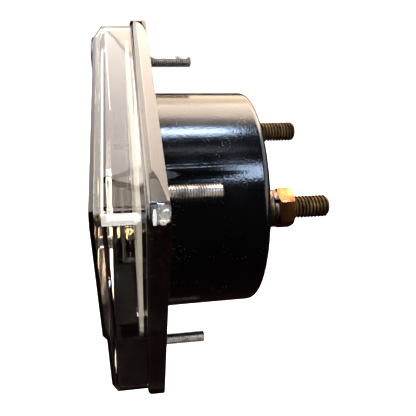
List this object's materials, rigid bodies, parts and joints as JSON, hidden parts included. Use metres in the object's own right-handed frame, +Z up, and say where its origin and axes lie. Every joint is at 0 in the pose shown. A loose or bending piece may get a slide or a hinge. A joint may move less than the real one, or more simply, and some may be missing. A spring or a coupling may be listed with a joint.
{
  "type": "analog panel meter",
  "caption": "Square clear-fronted analog panel meter with a black lower band, round black rear case, threaded mounting studs and brass terminals.",
  "frame": {"origin": "centre of the four mounting studs, on the panel plane where the frame's back face meets the panel", "axes": "+X right as seen from the front, +Y from the dial to the terminals, +Z up"},
  "size_m": [0.0728, 0.052, 0.062],
  "materials": {
    "clear_acrylic": "clear moulded acrylic, lightly scuffed",
    "black_moulding": "black moulded styrene",
    "black_screw": "black moulded nylon",
    "black_case": "glossy black moulding with dust",
    "zinc_steel": "zinc plated, threaded",
    "terminal_brass": "tarnished, threaded",
    "washer_brass": "tarnished",
    "washer_steel": "dull plated",
    "nut_brass": "brushed, tarnished on some flats",
    "inner_brass": "stamped",
    "inner_steel": "plated",
    "black_steel": "blackened",
    "soft_iron": "turned",
    "red_wire": "insulated lead",
    "blue_wire": "insulated lead",
    "dial": "white enamelled sheet with printed scale",
    "spring_bronze": "rolled strip",
    "pointer_aluminium": "black painted",
    "bare_aluminium": "folded strip",
    "copper_winding": "enamelled copper wire"
  },
  "bodies": {
    "meter_body": {"front_cover": "clear_acrylic", "lower_mask": "black_moulding", "case": "black_case", "mounting_studs": "zinc_steel", "terminal_left": "terminal_brass", "terminal_right": "terminal_brass", "terminal_washer": "washer_brass", "spring_washer": "washer_steel", "terminal_nut": "nut_brass", "solder_tags": "inner_brass", "lead_left": "red_wire", "lead_right": "blue_wire", "dial_plate": "dial", "dial_screws": "inner_steel", "pointer_stops": "black_steel", "movement_plate": "inner_steel", "movement_screws": "inner_steel", "yoke_ring": "soft_iron", "yoke_screws": "inner_steel", "core_magnet": "soft_iron", "core_bar": "inner_brass", "front_bridge": "black_steel", "front_bridge_screws": "inner_steel", "rear_bridge": "inner_brass", "rear_bridge_screws": "inner_steel", "jewel_screw_front": "inner_brass", "jewel_screw_rear": "inner_brass", "jewel_nut_front": "inner_brass", "jewel_nut_rear": "inner_brass", "hairspring_rear": "spring_bronze", "rear_anchor": "inner_brass"},
    "adjuster": {"zero_adjuster": "black_screw"},
    "zero_arm_set": {"zero_arm": "black_steel", "hairspring_front": "spring_bronze"},
    "moving_coil": {"pointer": "pointer_aluminium", "balance_weights": "inner_brass", "coil_former": "bare_aluminium", "coil_winding": "copper_winding", "spindle_front": "inner_steel", "spindle_rear": "inner_steel"}
  },
  "joints": [
    {"name": "pointer_swing", "type": "hinge", "parent": "meter_body", "child": "moving_coil", "pos_m": [0, 0.008, -0.0095], "axis": [0, 1, 0], "range_deg": [0, 90], "stiffness_Nm_per_rad": 0.000015},
    {"name": "zero_adjust", "type": "hinge", "parent": "meter_body", "child": "adjuster", "pos_m": [0, -0.0123, -0.02], "axis": [0, 1, 0], "range_deg": [-45, 45]},
    {"name": "zero_arm_swing", "type": "hinge", "parent": "meter_body", "child": "zero_arm_set", "pos_m": [0, -0.0087, -0.0095], "axis": [0, 1, 0], "range_deg": [-4.3, 4.3]}
  ],
  "couplings": [
    {"joint": "zero_arm_swing", "follows": "zero_adjust", "ratio": 0.095}
  ]
}
